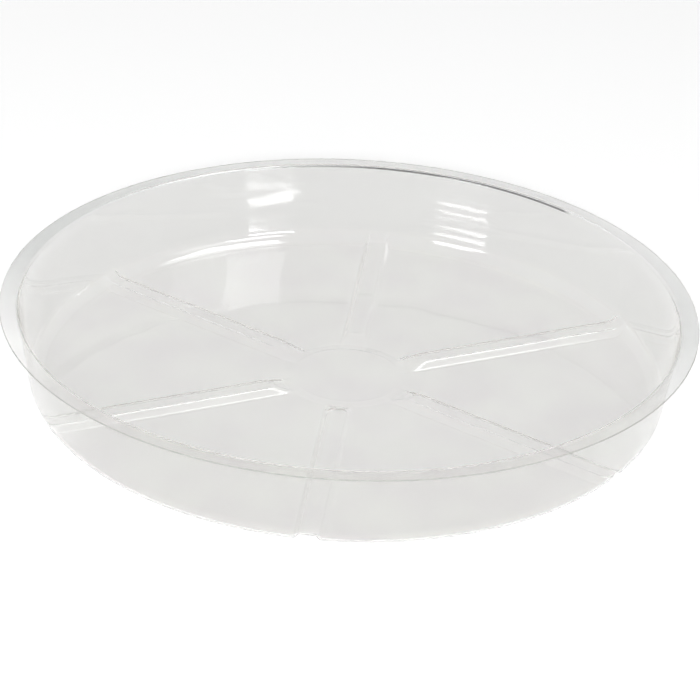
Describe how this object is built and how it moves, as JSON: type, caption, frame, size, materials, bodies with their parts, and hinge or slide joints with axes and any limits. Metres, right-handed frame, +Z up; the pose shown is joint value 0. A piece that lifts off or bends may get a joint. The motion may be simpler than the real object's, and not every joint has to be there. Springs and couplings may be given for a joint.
{
  "type": "plant saucer",
  "caption": "Round, shallow, clear plastic saucer that catches run-off water under a plant pot, with a flat rim and raised radial ribs that hold the pot off its floor.",
  "frame": {"origin": "centre of the underside, in the plane it rests on", "axes": "+Z up along the saucer's axis; one rib runs along +Y and its opposite along -Y"},
  "size_m": [0.3048, 0.3048, 0.039],
  "materials": {
    "clear_plastic": "clear, glossy"
  },
  "bodies": {
    "root": {"saucer": "clear_plastic"}
  },
  "joints": []
}
